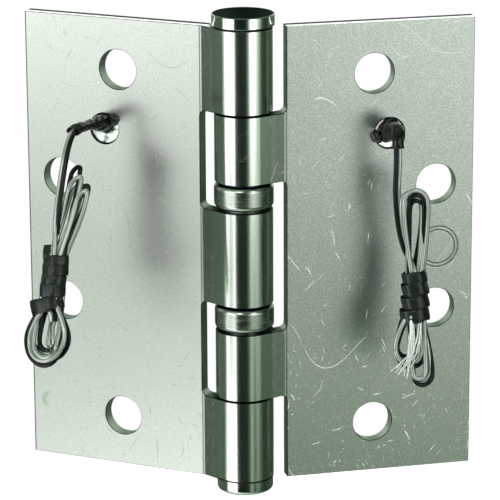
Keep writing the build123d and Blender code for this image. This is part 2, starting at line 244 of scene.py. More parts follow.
def addWire(name, side, letter):
    points = outside(side, wireStations(side, letter))
    curve = bpy.data.curves.new(name, "CURVE")
    curve.dimensions = "3D"
    spline = curve.splines.new("NURBS")
    spline.points.add(len(points) - 1)
    spline.points.foreach_set("co", np.column_stack([points, np.ones(len(points))]).ravel())
    spline.order_u = 3
    spline.use_endpoint_u = True
    spline.points.foreach_set("radius", np.full(len(points), mm))
    curve.resolution_u = 5
    # the depth is multiplied by the points' radius, which is a millimetre
    curve.bevel_depth = wireShape["diameter"] / 2
    curve.bevel_resolution = 5
    curve.use_fill_caps = True
    wire = addObject(name, curve)
    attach(wire, side + "_side")
    return wire


wires = {}
for side in ("frame", "door"):
    for letter in ("A", "B"):
        wires[side + "Wire" + letter] = addWire(side + "Wire" + letter, side, letter)
    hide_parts(side + "_wire_a", side + "_hank")
    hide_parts(side + "_wire_b")
print("wires laid:", len(wires))


# Surfaces worked out as arrays
anyPhase = (0, 6.28)    # radians


def circle(count):
    # angles round a full circle
    return np.linspace(0, 2 * np.pi, count, endpoint=False)


def gridFaces(rings, around, lapped=0):
    # each ring of points joins the next, and the last joins the first where the grid is lapped
    ring, step = np.meshgrid(np.arange(rings - 1 + lapped), np.arange(around), indexing="ij")
    here, above, after = ring * around, (ring + 1) % rings * around, (step + 1) % around
    return np.stack([here + step, here + after, above + after, above + step], -1).reshape(-1, 4)


def closedMesh(name, grid):
    # grid is rings by points round, and each end closes on its middle
    rings, around = grid.shape[:2]
    points = np.vstack([grid.reshape(-1, 3), grid[0].mean(0), grid[-1].mean(0)])
    quads = gridFaces(rings, around)
    edge = np.arange(around)
    follow = (edge + 1) % around
    last = (rings - 1) * around
    startCap = np.stack([follow, edge, np.full(around, rings * around)], -1)
    endCap = np.stack([last + edge, last + follow, np.full(around, rings * around + 1)], -1)
    return meshFrom(name, points, quads.tolist() + startCap.tolist() + endCap.tolist())


def ringMesh(name, grid):
    # grid is closed both ways, as a torus is
    return meshFrom(name, grid.reshape(-1, 3), gridFaces(*grid.shape[:2], 1).tolist())


def meshFrom(name, points, faces):
    # faces are turned outwards by the sign of the closed volume
    corners = np.array([(face[0], face[i], face[i + 1]) for face in faces
                        for i in range(1, len(face) - 1)])
    a, b, c = points[corners].transpose(1, 0, 2)
    if np.einsum("ij,ij->i", a, np.cross(b, c)).sum() < 0:
        faces = [face[::-1] for face in faces]
    return smoothMesh(name, points.tolist(), faces)


def smoothMesh(name, points, faces):
    mesh = bpy.data.meshes.new(name)
    mesh.from_pydata(points, [], faces)
    mesh.polygons.foreach_set("use_smooth", np.ones(len(faces), bool))
    return mesh


def addPiece(name, meshes, side, replaced=()):
    # one object of one or more meshes, joined by their points and faces
    points, faces, offset = [], [], 0
    for mesh in meshes:
        points += [tuple(vertex.co) for vertex in mesh.vertices]
        faces += [[index + offset for index in face.vertices] for face in mesh.polygons]
        offset = len(points)
    piece = addObject(name, smoothMesh(name, points, faces))
    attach(piece, side + "_side")
    if replaced:
        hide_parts(*replaced)
    for mesh in meshes:
        bpy.data.meshes.remove(mesh)
    return piece


def smoothPath(corners, count):
    # a Catmull-Rom curve through the corners, at evenly spaced parameters
    corners = np.array(corners, float)
    padded = np.vstack([2 * corners[0] - corners[1], corners, 2 * corners[-1] - corners[-2]])
    at = np.linspace(0, len(corners) - 1, count)
    index = np.minimum(at.astype(int), len(corners) - 2)
    t = (at - index)[:, None]
    p0, p1, p2, p3 = (padded[index + i] for i in range(4))
    return 0.5 * (2 * p1 + (p2 - p0) * t + (2 * p0 - 5 * p1 + 4 * p2 - p3) * t ** 2
                  + (3 * p1 - p0 - 3 * p2 + p3) * t ** 3)


def sweptGrid(path, outward, halfOut, halfBack, turns):
    # ellipses square to the path, halfOut and halfBack wide, at the given angles round it
    along = np.gradient(path, axis=0)
    along /= np.linalg.norm(along, axis=1)[:, None]
    out = outward - (along @ outward)[:, None] * along
    out /= np.linalg.norm(out, axis=1)[:, None]
    over = np.cross(along, out)
    return (path[:, None] + halfOut[..., None] * np.cos(turns)[None, :, None] * out[:, None]
            + halfBack[..., None] * np.sin(turns)[None, :, None] * over[:, None])


# Heat-shrink sleeves: (aside, proud, rise, half out, half back) from the resin to the mouth
sleeveMesh = {"rings": 60, "around": 48, "wrinkles": 9, "turnedIn": 10}
sleeves = {
    "frame": {
        "stations": [
            (0.0, -0.6, 1.4, 2.35, 2.3), (0.0, 0.9, 1.5, 2.2, 2.2), (0.0, 3.4, 1.9, 1.95, 1.85),
            (0.0, 6.5, 2.4, 1.5, 1.4), (0.0, 9.3, 2.7, 1.3, 1.2), (0.0, 12.2, 3.0, 1.45, 1.25),
            (0.0, 14.6, 3.1, 1.6, 1.35), (0.1, 16.6, 2.7, 1.6, 1.3),
        ],
        "wall": 0.3, "lobe": 0.09, "wrinkle": 0.09, "seed": 5,
    },
    "door": {
        "stations": [
            (-0.5, -0.6, 0.1, 2.5, 2.4), (-0.5, 1.0, 0.4, 2.35, 2.3), (-0.6, 3.4, 1.1, 2.15, 2.1),
            (-0.8, 6.2, 2.2, 1.95, 1.85), (-1.0, 9.0, 3.0, 1.8, 1.7),
            (-1.4, 11.6, 2.7, 1.65, 1.55), (-1.7, 13.1, 1.2, 1.45, 1.35),
            (-1.8, 13.7, -0.7, 1.3, 1.15),
        ],
        "wall": 0.3, "lobe": 0.07, "wrinkle": 0.11, "seed": 9,
    },
}


def addSleeve(side):
    # the outer skin to the mouth, over its lip and back down inside to a plug
    made = sleeves[side]
    stations = np.array(made["stations"])
    rings, around = sleeveMesh["rings"], sleeveMesh["around"]
    path = smoothPath(outside(side, stations[:, :3]), rings)
    half = smoothPath(stations[:, 3:], rings) * mm
    turns = circle(around)
    place = np.linspace(0, 1, rings)[:, None]
    random = np.random.default_rng(made["seed"])
    lobes = 1 + made["lobe"] * place ** 2 * np.cos(2 * turns)[None]
    wrinkles = np.zeros((rings, around))
    for _ in range(sleeveMesh["wrinkles"]):
        rounds, runs = random.integers(1, 6), random.uniform(2, 9)
        phase = random.uniform(*anyPhase)
        wrinkles += np.cos(rounds * turns[None] + runs * 2 * np.pi * place + phase)
    skin = lobes + made["wrinkle"] * wrinkles / 4
    outer = sweptGrid(path, sides[side]["out"], half[:, :1] * skin, half[:, 1:] * skin, turns)
    lip, wall = slice(-sleeveMesh["turnedIn"], None), made["wall"] * mm
    inner = sweptGrid(path[lip], sides[side]["out"], half[lip, :1] * skin[lip] - wall,
                      half[lip, 1:] * skin[lip] - wall, turns)[::-1]
    return addPiece(side + "Sleeve", [closedMesh("sleeve", np.vstack([outer, inner]))], side,
                    [side + "_sleeve"])


# Sealant pushed round each sleeve: lumpy domes, (aside, rise) of the middle, radius, foot, height
globShape = {"rings": 28, "around": 64, "wavyRim": 0.12, "bumpy": 0.11, "under": 0.05}
globs = {
    "frame": {"seed": 3, "lumps": [(0.2, 1.3, 2.7, -0.75, 2.0), (-2.7, 2.5, 1.5, -0.2, 1.3)]},
    "door": {"seed": 8, "lumps": [(0.2, 0.8, 3.0, -0.75, 2.4), (-3.1, -0.7, 1.75, -0.5, 2.2)]},
}


def addGlob(side):
    # height = h * sqrt(1 - share^3) with bumps, over a wavy disc, closed underneath
    rings, around = globShape["rings"], globShape["around"]
    turns = circle(around)
    share = np.linspace(0.02, 1, rings)[:, None]
    random = np.random.default_rng(globs[side]["seed"])
    meshes = []
    for aside, rise, size, foot, height in globs[side]["lumps"]:
        rim, bumps = np.zeros(around), np.zeros((rings, around))
        for count in (2, 3, 4, 5, 7):
            rim += random.uniform(-1, 1) * np.cos(count * turns + random.uniform(*anyPhase)) / count
            drift, phase = random.uniform(0.5, 2), random.uniform(*anyPhase)
            bumps += np.cos(count * turns[None] + 5 * share * drift + phase)
        radius = size * share * (1 + globShape["wavyRim"] * rim[None] * share)
        proud = foot + height * np.sqrt(1 - share ** 3) * (1 + globShape["bumpy"] * bumps * share)
        stations = np.stack([aside + radius * np.cos(turns), proud + 0 * radius,
                             rise + radius * np.sin(turns)], -1)
        under = stations[-1:].copy()
        under[..., 1] = foot - globShape["under"]
        grid = np.vstack([stations, under])
        meshes.append(closedMesh("glob", outside(side, grid.reshape(-1, 3)).reshape(grid.shape)))
    return addPiece(side + "Sealant", meshes, side)


# Tape ties: bands of (aside, proud, rise, half out, half back, width, lean, tilt). The heights of
# a band's facets, ripple, step and waves, and of its crown, are in mm.
tapeShape = {"facet": 0.12, "ripple": 0.05, "step": 0.15, "sunk": 0.05, "wave": 0.15,
             "smallWave": 0.1, "crown": 0.06, "around": 120, "section": 14, "flagRings": 20,
             "flagAround": 24, "flagHalf": 0.11, "flagTaper": 0.85}
ties = {
    "frame": {
        "bands": [
            (-0.2, 26.9, -26.8, 2.9, 2.8, 2.5, 17, -4),
            (-0.05, 27.5, -28.9, 3.02, 2.9, 3.0, 17, -7),
            (0.05, 28.2, -31.3, 2.92, 2.8, 3.0, 17, 2),
            (0.15, 28.9, -33.8, 3.05, 2.95, 3.4, 17, -5),
            (0.95, 30.1, -37.2, 4.1, 3.1, 3.6, 17, -20),
        ],
        "thickness": 0.3, "seed": 21,
        "flag": [(0.9, 29.0, -27.9), (1.6, 28.4, -26.3), (2.2, 27.4, -24.6), (2.5, 26.4, -23.3)],
        "flagWidth": 2.3,
    },
    "door": {
        "bands": [
            (1.6, 17.1, -31.9, 2.9, 2.85, 3.1, 7, 11), (1.6, 17.4, -34.7, 3.05, 2.95, 3.7, 7, 15),
            (1.6, 17.8, -37.9, 3.2, 3.0, 3.7, 7, 13), (1.4, 18.2, -41.0, 3.5, 3.1, 3.4, 7, 8),
        ],
        "thickness": 0.3, "seed": 34,
    },
}


def addTie(side):
    # each band is a flattened ring: its middle line is an ellipse with facets where it lies on
    # wires, and it climbs by a tape's thickness round one turn, which leaves a step
    made = ties[side]
    random = np.random.default_rng(made["seed"])
    turns = circle(tapeShape["around"])
    edge = circle(tapeShape["section"])
    out, back = sides[side]["out"], sides[side]["back"]
    meshes = []
    for *place, halfOut, halfBack, width, lean, tilt in made["bands"]:
        lean, tilt = math.radians(lean), math.radians(tilt)
        axis = np.array([0, 0, math.cos(lean)]) - back * math.sin(lean)
        across = out * math.cos(tilt) + axis * math.sin(tilt)
        forward = axis * math.cos(tilt) - out * math.sin(tilt)
        over = np.cross(forward, across)
        facets = tapeShape["facet"] * np.abs(np.sin(3 * turns + random.uniform(0, 3)))
        facets += tapeShape["ripple"] * np.cos(5 * turns + random.uniform(*anyPhase))
        share = ((turns + random.uniform(*anyPhase)) % (2 * np.pi)) / (2 * np.pi)
        swell = (facets + tapeShape["step"] * share - tapeShape["sunk"])[:, None]
        flat = np.sign(np.cos(edge)) * np.abs(np.cos(edge)) ** 0.6 * width / 2
        wave = tapeShape["wave"] * np.cos(2 * turns + random.uniform(*anyPhase))
        wave += tapeShape["smallWave"] * np.cos(5 * turns + random.uniform(*anyPhase))
        thick = np.sign(np.sin(edge)) * np.abs(np.sin(edge)) ** 0.8 * made["thickness"] / 2
        skin = thick[None] + tapeShape["crown"] * (1 - (2 * flat / width) ** 2)[None]
        ringOut, ringBack = (
            (half - made["thickness"] / 2 + swell + skin) * curve(turns)[:, None]
            for half, curve in ((halfOut, np.cos), (halfBack, np.sin)))
        lift = flat[None] + wave[:, None]
        offset = (ringOut[..., None] * across + ringBack[..., None] * over
                  + lift[..., None] * forward)
        meshes.append(ringMesh("band", outside(side, [place])[0] + offset * mm))
    if "flag" in made:
        rings, half = tapeShape["flagRings"], made["flagWidth"] / 2 * mm
        path = smoothPath(outside(side, made["flag"]), rings)
        halfOut = half * np.linspace(1, tapeShape["flagTaper"], rings)[:, None]
        halfBack = np.full((rings, 1), tapeShape["flagHalf"] * mm)
        flagTurns = circle(tapeShape["flagAround"])
        meshes.append(closedMesh("flag", sweptGrid(path, out, halfOut, halfBack, flagTurns)))
    return addPiece(side + "Tie", meshes, side, [side + "_tie"])


# Bare ends: each bundle starts at a wire's end and its strands fan out to the given tips
strandMesh = {"rings": 26, "around": 10}
bareEnds = {
    "frame": {
        "seed": 2, "radius": 0.11, "spread": 0.2,
        "bundles": [
            {
                "start": [(-1.1, 32.3, -40.2), (-1.3, 33.6, -43.0), (-1.7, 34.8, -45.6)],
                "tips": [
                    (-3.4, 36.4, -47.2), (-2.6, 36.6, -47.6), (-3.9, 36.3, -46.6),
                    (-1.9, 36.6, -47.1),
                ],
            },
            {
                "start": [(-2.3, 32.3, -40.0), (-2.0, 33.3, -42.4), (-2.9, 34.6, -45.0)],
                "tips": [(-4.5, 36.0, -46.7), (-3.2, 36.5, -47.4), (-4.9, 35.8, -45.9)],
            },
        ],
    },
    "door": {
        "seed": 4, "radius": 0.14, "spread": 0.35,
        "bundles": [
            {
                "start": [(-0.3, 20.5, -40.8), (-0.2, 21.4, -44.6), (-0.7, 22.2, -49.2)],
                "tips": [
                    (-5.6, 22.7, -53.4), (-4.9, 23.0, -52.7), (-4.4, 23.2, -54.5),
                    (-3.6, 23.3, -53.6), (-2.9, 23.3, -54.9), (-2.0, 23.4, -55.4),
                    (-1.4, 23.3, -54.8), (-5.0, 22.6, -54.3), (-2.4, 23.0, -53.2),
                    (-1.8, 23.5, -55.9), (-3.9, 23.4, -52.6),
                ],
            },
            {
                "start": [(2.1, 20.4, -41.6), (1.5, 21.6, -45.4), (0.4, 22.4, -48.9)],
                "tips": [
                    (-0.7, 23.1, -50.9), (-0.2, 23.0, -51.8), (-1.3, 23.1, -51.6),
                    (-0.8, 23.3, -52.6), (-1.6, 23.2, -50.4),
                ],
            },
        ],
    },
}


def addBareEnds(side):
    # strands lie round the bundle's middle, drift along it and part towards their tips
    made = bareEnds[side]
    random = np.random.default_rng(made["seed"])
    rings = strandMesh["rings"]
    turns = circle(strandMesh["around"])
    meshes = []
    for bundle in made["bundles"]:
        start, tips = np.array(bundle["start"]), np.array(bundle["tips"])
        for index, tip in enumerate(tips):
            angle = 2 * np.pi * index / len(tips)
            around = np.array([math.cos(angle), 0.7 * math.sin(angle), 0.2 * math.sin(angle)])
            spread = np.linspace(0.3, 0.75, len(start))[:, None]
            bend = (start[-1] + tip) / 2 + random.uniform(-0.45, 0.45, 3) + around * 0.3
            end = tip + made["spread"] * random.uniform(-1, 1, 3)
            corners = np.vstack([start + around * spread, bend, end])
            path = smoothPath(outside(side, corners), rings)
            radius = np.full((rings, 1), made["radius"] * random.uniform(0.8, 1.15) * mm)
            grid = sweptGrid(path, sides[side]["out"], radius, radius, turns)
            meshes.append(closedMesh("strand", grid))
    return addPiece(side + "BareEnds", meshes, side, [side + "_bare_ends"])


softPieces = {}
for side in ("frame", "door"):
    softPieces[side] = {"sleeve": addSleeve(side), "sealant": addGlob(side), "tie": addTie(side),
                        "ends": addBareEnds(side)}
print("sleeves, sealant, ties and bare ends made")


# Materials
def linear(colour):
    # sRGB hex to linear red, green, blue and alpha
    parts = [int(colour[i:i + 2], 16) / 255 for i in (0, 2, 4)]
    return [part / 12.92 if part <= 0.04045 else ((part + 0.055) / 1.055) ** 2.4
            for part in parts] + [1.0]


def addNode(tree, kind, inputs=None, output=None, **settings):
    # a node with its settings; an input that is a socket becomes a link, and a hex string a
    # colour. It gives back the node, or the one of its outputs that is asked for
    node = tree.nodes.new("ShaderNode" + kind)
    for name, value in settings.items():
        setattr(node, name, value)
    for name, value in (inputs or {}).items():
        if isinstance(value, bpy.types.NodeSocket):
            tree.links.new(value, node.inputs[name])
        else:
            node.inputs[name].default_value = linear(value) if isinstance(value, str) else value
    return node if output is None else node.outputs[output]


# Settings of nodes: a Map Range node has its limits at inputs 1 and 2, and what they become at 3
# and 4. A Mix node has its colours at inputs 6 and 7, and its mixed colour at output 2.
smooth = {"interpolation_type": "SMOOTHSTEP"}
asColour = {"data_type": "RGBA"}
times, larger, positive = ({"operation": name} for name in ("MULTIPLY", "MAXIMUM", "ABSOLUTE"))


def newMaterial(name):
    # the material, and the function that adds a node to it
    material = bpy.data.materials.new(name)
    material.use_nodes = True
    material.node_tree.nodes.clear()
    return material, partial(addNode, material.node_tree)


def rampStops(node, stops):
    ramp = node.color_ramp
    while len(ramp.elements) < len(stops):
        ramp.elements.new(0.5)
    for element, (place, colour) in zip(ramp.elements, stops):
        element.position, element.color = place, linear(colour)


def uprightShare(add, normal):
    # how far a face looks up or down
    return add("Math", {0: add("SeparateXYZ", {0: normal}, "Z")}, 0, **positive)


def lineAt(add, value, middle, width, strength=1.0):
    # a soft line where a value passes its middle, gone at the width on either side
    off = add("Math", {0: value, 1: middle}, 0, operation="SUBTRACT")
    off = add("Math", {0: off}, 0, **positive)
    return add("MapRange", {0: off, 1: width, 2: 0.0, 4: strength}, 0, **smooth)


# Sizes in mm. Scratches are drawn several times wider than real ones, so that they show. A pair of
# limits says where a share begins and where it is whole.
steelShape = {
    "onLeaf": (7.3, 8.6),               # from the pin axis, where the finish changes
    # the dark colour that marks edge breaks, knuckle ends and lines is painted shade
    "barrelColour": "EFF2EE", "wallColour": "8F9C8F", "paintedShadeColour": "1A221B",
    "topColour": "EEF1ED",
    "barrelRoughness": 0.13, "wornRoughness": 0.12, "hazeRoughness": 0.06, "cutRoughness": 0.4,
    "frontRoughness": 0.38, "frontScatter": 0.35,       # the front faces are satin
    # how squarely a face looks out of the leaf: edge breaks, walls and the front. The barrel's
    # ends go by how squarely they look up or down
    "breakFacing": (0.85, 0.75), "wallFacing": (0.6, 0.45), "frontFacing": -0.9,
    "endFacing": (0.3, 0.5),
    "halfHeight": 57.15, "topSkin": 0.03,
    "endShadeLine": 0.5, "endShadeBlend": 0.1,  # the barrel's ends carry a line of painted shade this wide
    "farTopShade": (2.8, 2.5),                 # the far side of a sheared top face is painted dark, as the shadow of its burr
    "creaseRadius": 10.5, "creaseWidth": 0.28,          # where the leaf bends up to the barrel, with a line of painted shade in the crease
    "edge": (56.65, 56.9),              # the free edge's break, with painted shade along it
    "drilled": (12.0, 14.0), "drilledScatter": 0.22,    # walls this far out are screw holes
    # each noise's size, and how many finer ones are added to it
    "patterns": {"grain": (0.45, 3.0), "haze": (14.0, 3.0), "curl": (26.0, 0.0),
                 "curlPatch": (9.0, 0.0)},
    "mottle": (0.35, 0.65), "curlPatch": (0.55, 0.6), "curlWidth": 0.0035, "speckSize": 1.3,
    "scratchAngles": (8, 41, 77, 118, 152), "scratchLength": 3.2, "scratchWidth": 0.15,
    "scratchDepth": 50,                 # drawn alike through the whole leaf
    # heights of the relief, and the shares of their colours that marks and lines take
    "relief": {"mark": -0.6, "grain": 0.5, "stamp": -3.0, "strength": 0.2, "depth": 0.06},
    "shares": {"mark": 0.8, "curl": 0.7, "stamp": 0.75, "crease": 0.75, "edge": 0.8},
    "stamp": {"reach": 48.3, "height": -0.3, "rings": (5.15, 4.3), "line": 0.34,
              "colour": "3D4C40"},
}
# A leaf's mark colour is painted light on its scratches and dents: darker on the frame leaf as
# painted shade, near white on the door leaf as painted glints
leafFinishes = {
    "frameLeafSteel": {"side": "frame", "turn": math.pi, "colours": ("A6ABA5", "ADB2AC"),
                       "mark": "7F8B80", "scatter": 0.0, "scratches": (0.755, 0.805),
                       "specks": 0.13, "onBarrel": 0.6, "shift": 0.0, "roughness": 0.24},
    "doorLeafSteel": {"side": "door", "turn": -restTurn, "colours": ("AFB6AE", "C9CFC8"),
                      "mark": "EDF1EC", "scatter": 0.5, "scratches": (0.754, 0.804),
                      "specks": 0.15, "onBarrel": 0.2, "shift": 0.4, "roughness": 0.33},
}


def limits(name, unit=1.0):
    low, high = steelShape[name]
    return {1: low * unit, 2: high * unit}


def leafMarks(add, flat, patterns, made):
    # hairline scratches in five directions, a few long curved ones, and small dents
    shape, marks = steelShape, []
    for index, angle in enumerate(shape["scratchAngles"]):
        turned = add("Mapping", {
            "Vector": flat, "Rotation": (0, math.radians(angle), 0),
            "Location": (0.013 * index + made["shift"], 0.0, 0.007 * index),
            "Scale": (1, shape["scratchDepth"], shape["scratchLength"] / shape["scratchWidth"])}, 0,
            vector_type="TEXTURE")
        streak = add("TexNoise", {
            "Vector": turned, "Scale": 1 / (2 * shape["scratchWidth"] * mm), "Detail": 1.0,
            "Roughness": 0.6}, "Fac")
        low, high = made["scratches"]
        marks.append(add("MapRange", {0: streak, 1: low, 2: high}, 0, **smooth))
    patch = add("MapRange", {0: patterns["curlPatch"], **limits("curlPatch")}, 0, **smooth)
    curl = lineAt(add, patterns["curl"], 0.5, shape["curlWidth"], shape["shares"]["curl"])
    marks.append(add("Math", {0: curl, 1: patch}, 0, **times))
    cells = add("TexVoronoi", {"Vector": flat, "Scale": 1 / (shape["speckSize"] * mm)})
    size = add("Math", {0: cells.outputs["Color"], 1: 2.0}, 0, operation="POWER")
    size = add("Math", {0: size, 1: made["specks"]}, 0, **times)
    marks.append(add("Math", {0: cells.outputs["Distance"], 1: size}, 0, operation="LESS_THAN"))
    return largest(add, marks)


def largest(add, values):
    whole = values[0]
    for value in values[1:]:
        whole = add("Math", {0: whole, 1: value}, 0, **larger)
    return whole


def stampRings(add, flat):
    # a plain double ring, pressed in
    stamp = steelShape["stamp"]
    centred = add("VectorMath", {
        0: flat, 1: (stamp["reach"] * mm, 0, stamp["height"] * mm)}, 0, operation="SUBTRACT")
    faced = add("VectorMath", {0: centred, 1: (1, 0, 1)}, 0, **times)
    away = add("VectorMath", {0: faced}, "Value", operation="LENGTH")
    return largest(add, [lineAt(add, away, ring * mm, stamp["line"] * mm)
                         for ring in stamp["rings"]])


def steelMaterial(name):
    # stainless steel, brushed fine and tumbled: the leaves give blurred reflections with many
    # hairline scratches and small dents, the rolled barrel is buffed nearly to a mirror, the front
    # faces are satin, and cut faces are duller. Painted shade darkens the edge breaks, the
    # knuckles' ends, a line at the barrel's ends, the crease, the frame leaf's free edge and the
    # top face's far side
    shape, made = steelShape, leafFinishes[name]
    heights, shares = shape["relief"], shape["shares"]
    material, add = newMaterial(name)
    place = add("TexCoord")
    spot, normal = place.outputs["Object"], place.outputs["Normal"]
    back = sides[made["side"]]["back"].tolist()
    flat = add("Mapping", {"Vector": spot, "Rotation": (0, 0, made["turn"])}, 0)
    patterns = {pattern: add("TexNoise", {
        "Vector": flat, "Scale": 1 / (size * mm), "Detail": detail, "Roughness": 0.6}, "Fac")
        for pattern, (size, detail) in shape["patterns"].items()}

    # where a point is, and how it faces: 1 is out of the leaf's back, -1 out of its front
    level = add("VectorMath", {0: spot, 1: (1, 1, 0)}, 0, **times)
    radius = add("VectorMath", {0: level}, "Value", operation="LENGTH")
    height = add("SeparateXYZ", {0: spot}, "Z")
    fromMiddle = add("Math", {0: height}, 0, **positive)
    backward, facing = (add("VectorMath", {0: vector, 1: back}, "Value",
                            operation="DOT_PRODUCT") for vector in (spot, normal))
    broadside = add("Math", {0: facing}, 0, **positive)
    onLeaf = add("MapRange", {0: radius, **limits("onLeaf", mm)}, 0, **smooth)

    # cut faces: a leaf's edge breaks and walls, and a knuckle's ends with a line next to them. Edge
    # breaks, knuckle ends and that line are painted dark as shade; walls keep their own grey
    leafCut = add("MapRange", {0: broadside, **limits("breakFacing")}, 0, **smooth)
    wall = add("MapRange", {0: broadside, **limits("wallFacing")}, 0, **smooth)
    endShadeFrom = shape["halfHeight"] - shape["endShadeLine"]
    endShadeLine = add("MapRange", {
        0: fromMiddle, 1: (endShadeFrom - shape["endShadeBlend"]) * mm,
        2: (endShadeFrom + shape["endShadeBlend"]) * mm}, 0, **smooth)
    ends = add("MapRange", {0: uprightShare(add, normal), **limits("endFacing")}, 0, **smooth)
    cut = add("Mix", {0: onLeaf, 2: largest(add, [endShadeLine, ends]), 3: leafCut}, 0)
    leafWall = add("Math", {0: wall, 1: onLeaf}, 0, **times)
    wallAndShadeColour = add("Mix", {
        0: leafWall, 6: shape["paintedShadeColour"], 7: shape["wallColour"]}, 2, **asColour)
    topmost = add("Math", {
        0: height, 1: (shape["halfHeight"] - shape["topSkin"]) * mm}, 0, operation="GREATER_THAN")
    topFace = add("Math", {0: topmost, 1: onLeaf}, 0, **times)
    # painted shadow along the far side of the top face
    far = add("MapRange", {0: backward, **limits("farTopShade", mm)}, 0, **smooth)
    farTopShade = add("Math", {0: topFace, 1: far}, 0, **times)
    toFront = add("Math", {0: facing, 1: shape["frontFacing"]}, 0, operation="LESS_THAN")
    front = add("Math", {0: toFront, 1: onLeaf}, 0, **times)

    # wear, fewer marks of it on the barrel
    share = add("MapRange", {0: onLeaf, 3: made["onBarrel"]}, 0, **smooth)
    worn = add("Math", {0: leafMarks(add, flat, patterns, made), 1: share}, 0, **times)
    faint = add("Math", {0: patterns["grain"], 1: heights["grain"]}, 0, **times)
    relief = add("Math", {0: worn, 1: heights["mark"], 2: faint}, 0, operation="MULTIPLY_ADD")

    # colour in layers, each a share and a colour
    mottle = add("MapRange", {0: patterns["grain"], **limits("mottle")}, 0, **smooth)
    leafColour = add("Mix", {
        0: mottle, 6: made["colours"][0], 7: made["colours"][1]}, 2, **asColour)
    colour = add("Mix", {0: onLeaf, 6: shape["barrelColour"], 7: leafColour}, 2, **asColour)
    # scratches and dents take the mark colour: real marks with painted light on them, shade on the
    # frame leaf and glints on the door leaf
    layers = [(add("Math", {0: worn, 1: shares["mark"]}, 0, **times), made["mark"])]
    if made["side"] == "door":
        toBack = add("Math", {0: facing, 1: 0.5}, 0, operation="GREATER_THAN")
        pressed = add("Math", {0: stampRings(add, flat), 1: toBack}, 0, **times)
        relief = add("Math", {0: pressed, 1: heights["stamp"], 2: relief}, 0,
                         operation="MULTIPLY_ADD")
        layers.append((add("Math", {0: pressed, 1: shares["stamp"]}, 0, **times),
                       shape["stamp"]["colour"]))
    # a line of painted shade in the crease
    crease = lineAt(add, radius, shape["creaseRadius"] * mm, shape["creaseWidth"] * mm,
                    shares["crease"])
    layers.append((crease, shape["paintedShadeColour"]))
    # painted shade along the frame leaf's free edge
    if made["side"] == "frame":
        reach = add("SeparateXYZ", {0: flat}, "X")
        rim = add("MapRange", {0: reach, **limits("edge", mm), 4: shares["edge"]}, 0, **smooth)
        layers.append((rim, shape["paintedShadeColour"]))
    # the cut faces' painted shade, the top face, and the painted shadow on its far side
    layers += [(cut, wallAndShadeColour), (topFace, shape["topColour"]), (farTopShade, shape["paintedShadeColour"])]
    for share, layer in layers:
        colour = add("Mix", {0: share, 6: colour, 7: layer}, 2, **asColour)

    rough = add("MapRange", {
        0: onLeaf, 3: shape["barrelRoughness"], 4: made["roughness"]}, 0, **smooth)
    for value, amount in ((patterns["haze"], "hazeRoughness"), (worn, "wornRoughness")):
        rough = add("Math", {0: value, 1: shape[amount], 2: rough}, 0, operation="MULTIPLY_ADD")
    for share, ending in ((cut, "cutRoughness"), (front, "frontRoughness")):
        rough = add("Mix", {0: share, 2: rough, 3: shape[ending]}, 0)

    # the share that scatters light as paint does, and isn't metal
    drilled = add("MapRange", {
        0: radius, **limits("drilled", mm), 4: shape["drilledScatter"]}, 0, **smooth)
    scattered = [add("Math", {0: value, 1: amount}, 0, **times) for value, amount in (
        (worn, made["scatter"]), (wall, drilled), (front, shape["frontScatter"]))]
    metal = add("Math", {0: 1.0, 1: largest(add, scattered + [topFace])}, 0, operation="SUBTRACT")
    bump = add("Bump", {
        "Height": relief, "Strength": heights["strength"], "Distance": heights["depth"] * mm}, 0)
    shader = add("BsdfPrincipled", {
        "Base Color": colour, "Metallic": metal, "Roughness": rough, "Normal": bump}, 0)
    add("OutputMaterial", {"Surface": shader})
    return material


# Each row is a colour, how metallic, the limits of roughness, the noise's size in mm along x, y
# and z, its relief's strength and depth in mm, and what else the shader is given.
plainFinishes = {
    # buffed stainless: a near mirror with faint turning lines, and ends painted dark as shade
    "buffedSteel": ("E4E8E3", 1.0, (0.08, 0.15), (9.0, 9.0, 0.5), 0.05, 0.03, {"ends": "2B392E"}),
    # satin stainless of the bearing shells: the same reflections, broader and softer, and ends
    # painted dark as shade
    "satinSteel": ("C4CAC3", 1.0, (0.2, 0.3), (5.0, 5.0, 0.4), 0.12, 0.04, {"ends": "2B392E"}),
    # ground bearing steel: darker and satin, with fine rings
    "groundSteel": ("C6CBC7", 1.0, (0.18, 0.3), (6.0, 6.0, 0.25), 0.1, 0.03, {}),
    # polished ball steel: a clean mirror
    "polishedBall": ("DDE1E3", 1.0, (0.04, 0.09), (4.0, 4.0, 4.0), 0.02, 0.02, {}),
    # polyolefin heat-shrink: black, half gloss, with soft puckers
    "shrinkTube": ("050705", 0.0, (0.16, 0.32), (1.4, 1.4, 1.4), 0.5, 0.15, {"specular": 0.4}),
    # cured silicone sealant: black and wet-looking
    "blackSealant": ("040504", 0.0, (0.04, 0.12), (1.0, 1.0, 1.0), 0.7, 0.25, {"specular": 0.9}),
    # PVC electrical tape: dark grey green, half gloss with stretch lines
    "vinylTape": ("0B120D", 0.0, (0.22, 0.42), (2.2, 2.2, 0.45), 0.5, 0.12, {"specular": 0.45}),
    # PTFE hook-up wire: pale grey cover with a waxy gloss, bright along its lit side
    "paleWireCover": ("6C776C", 0.3, (0.12, 0.2), (1.2, 1.2, 3.0), 0.08, 0.03,
                      {"specular": 1.0, "coat": 1.0, "coatIor": 2.1}),
    # the same cover in black
    "darkWireCover": ("070A08", 0.0, (0.12, 0.2), (1.2, 1.2, 3.0), 0.08, 0.03, {"specular": 0.25}),
    # grey PVC lead sheath
    "leadSheath": ("59605A", 0.0, (0.35, 0.5), (1.5, 1.5, 1.5), 0.2, 0.04, {}),
    # tinned copper strands: silvery white, bright along each strand
    "tinnedStrand": ("CFD4CE", 0.7, (0.22, 0.4), (0.5, 0.5, 0.5), 0.3, 0.04, {}),
    # the same strands, darker, with a few glints
    "dullStrand": ("4C584D", 0.6, (0.2, 0.4), (0.5, 0.5, 0.5), 0.3, 0.04, {}),
}


